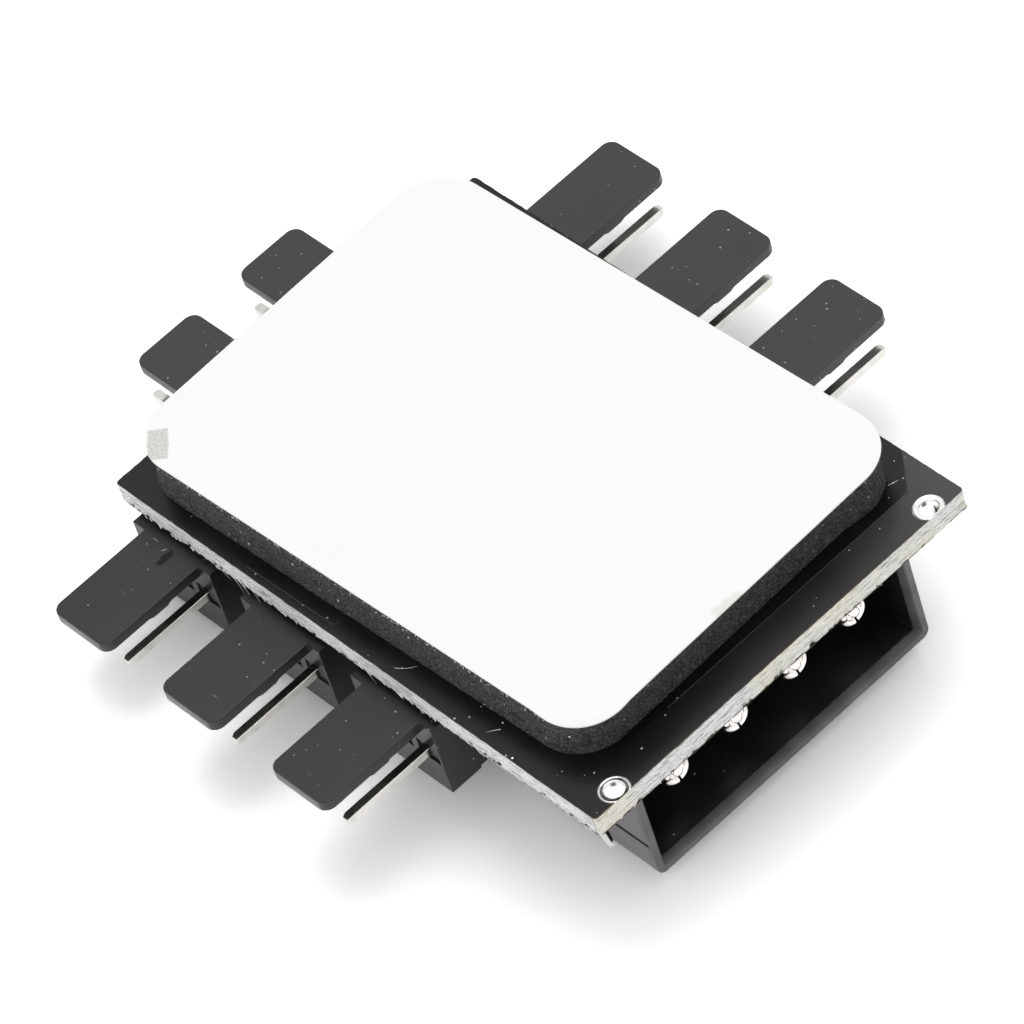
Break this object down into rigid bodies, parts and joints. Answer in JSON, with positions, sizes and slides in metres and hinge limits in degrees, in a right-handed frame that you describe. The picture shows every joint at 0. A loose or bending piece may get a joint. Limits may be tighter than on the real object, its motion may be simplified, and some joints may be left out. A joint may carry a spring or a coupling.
{
  "type": "pc fan hub",
  "caption": "Small black fan hub board shown pad side up: right-angle fan headers along three edges, a power socket at the fourth and a foam pad with a white liner",
  "frame": {"origin": "centre of the pad's liner face, which sticks to a wall once the liner is off", "axes": "+X along the board towards the power socket, +Y across the board, +Z out of the pad, away from the components"},
  "size_m": [0.053, 0.0485, 0.0152],
  "materials": {
    "laminate": "rough sawn glass-fibre edge",
    "mask": "thin satin solder mask",
    "foam": "open-cell foam",
    "liner": "smooth release paper",
    "header_plastic": "matte moulded",
    "socket_plastic": "semi-gloss moulded",
    "pin_metal": "bright tin plate",
    "solder_metal": "satin solder"
  },
  "bodies": {
    "root": {"circuit_board": "laminate", "solder_mask_pad_side": "mask", "solder_mask_component_side": "mask", "foam_pad": "foam", "release_liner": "liner", "power_socket": "socket_plastic", "power_pin_1": "pin_metal", "power_pin_2": "pin_metal", "power_pin_3": "pin_metal", "power_pin_4": "pin_metal", "power_solder": "solder_metal", "fan_header_near_1": "header_plastic", "fan_pin_near_1_1": "pin_metal", "fan_pin_near_1_2": "pin_metal", "fan_pin_near_1_3": "pin_metal", "fan_solder_near_1": "solder_metal", "fan_header_near_2": "header_plastic", "fan_pin_near_2_1": "pin_metal", "fan_pin_near_2_2": "pin_metal", "fan_pin_near_2_3": "pin_metal", "fan_solder_near_2": "solder_metal", "fan_header_near_3": "header_plastic", "fan_pin_near_3_1": "pin_metal", "fan_pin_near_3_2": "pin_metal", "fan_pin_near_3_3": "pin_metal", "fan_solder_near_3": "solder_metal", "fan_header_far_1": "header_plastic", "fan_pin_far_1_1": "pin_metal", "fan_pin_far_1_2": "pin_metal", "fan_pin_far_1_3": "pin_metal", "fan_solder_far_1": "solder_metal", "fan_header_far_2": "header_plastic", "fan_pin_far_2_1": "pin_metal", "fan_pin_far_2_2": "pin_metal", "fan_pin_far_2_3": "pin_metal", "fan_solder_far_2": "solder_metal", "fan_header_far_3": "header_plastic", "fan_pin_far_3_1": "pin_metal", "fan_pin_far_3_2": "pin_metal", "fan_pin_far_3_3": "pin_metal", "fan_solder_far_3": "solder_metal", "fan_header_end_1": "header_plastic", "fan_pin_end_1_1": "pin_metal", "fan_pin_end_1_2": "pin_metal", "fan_pin_end_1_3": "pin_metal", "fan_solder_end_1": "solder_metal", "fan_header_end_2": "header_plastic", "fan_pin_end_2_1": "pin_metal", "fan_pin_end_2_2": "pin_metal", "fan_pin_end_2_3": "pin_metal", "fan_solder_end_2": "solder_metal", "corner_rings_near": "solder_metal", "corner_rings_far": "solder_metal"}
  },
  "joints": []
}
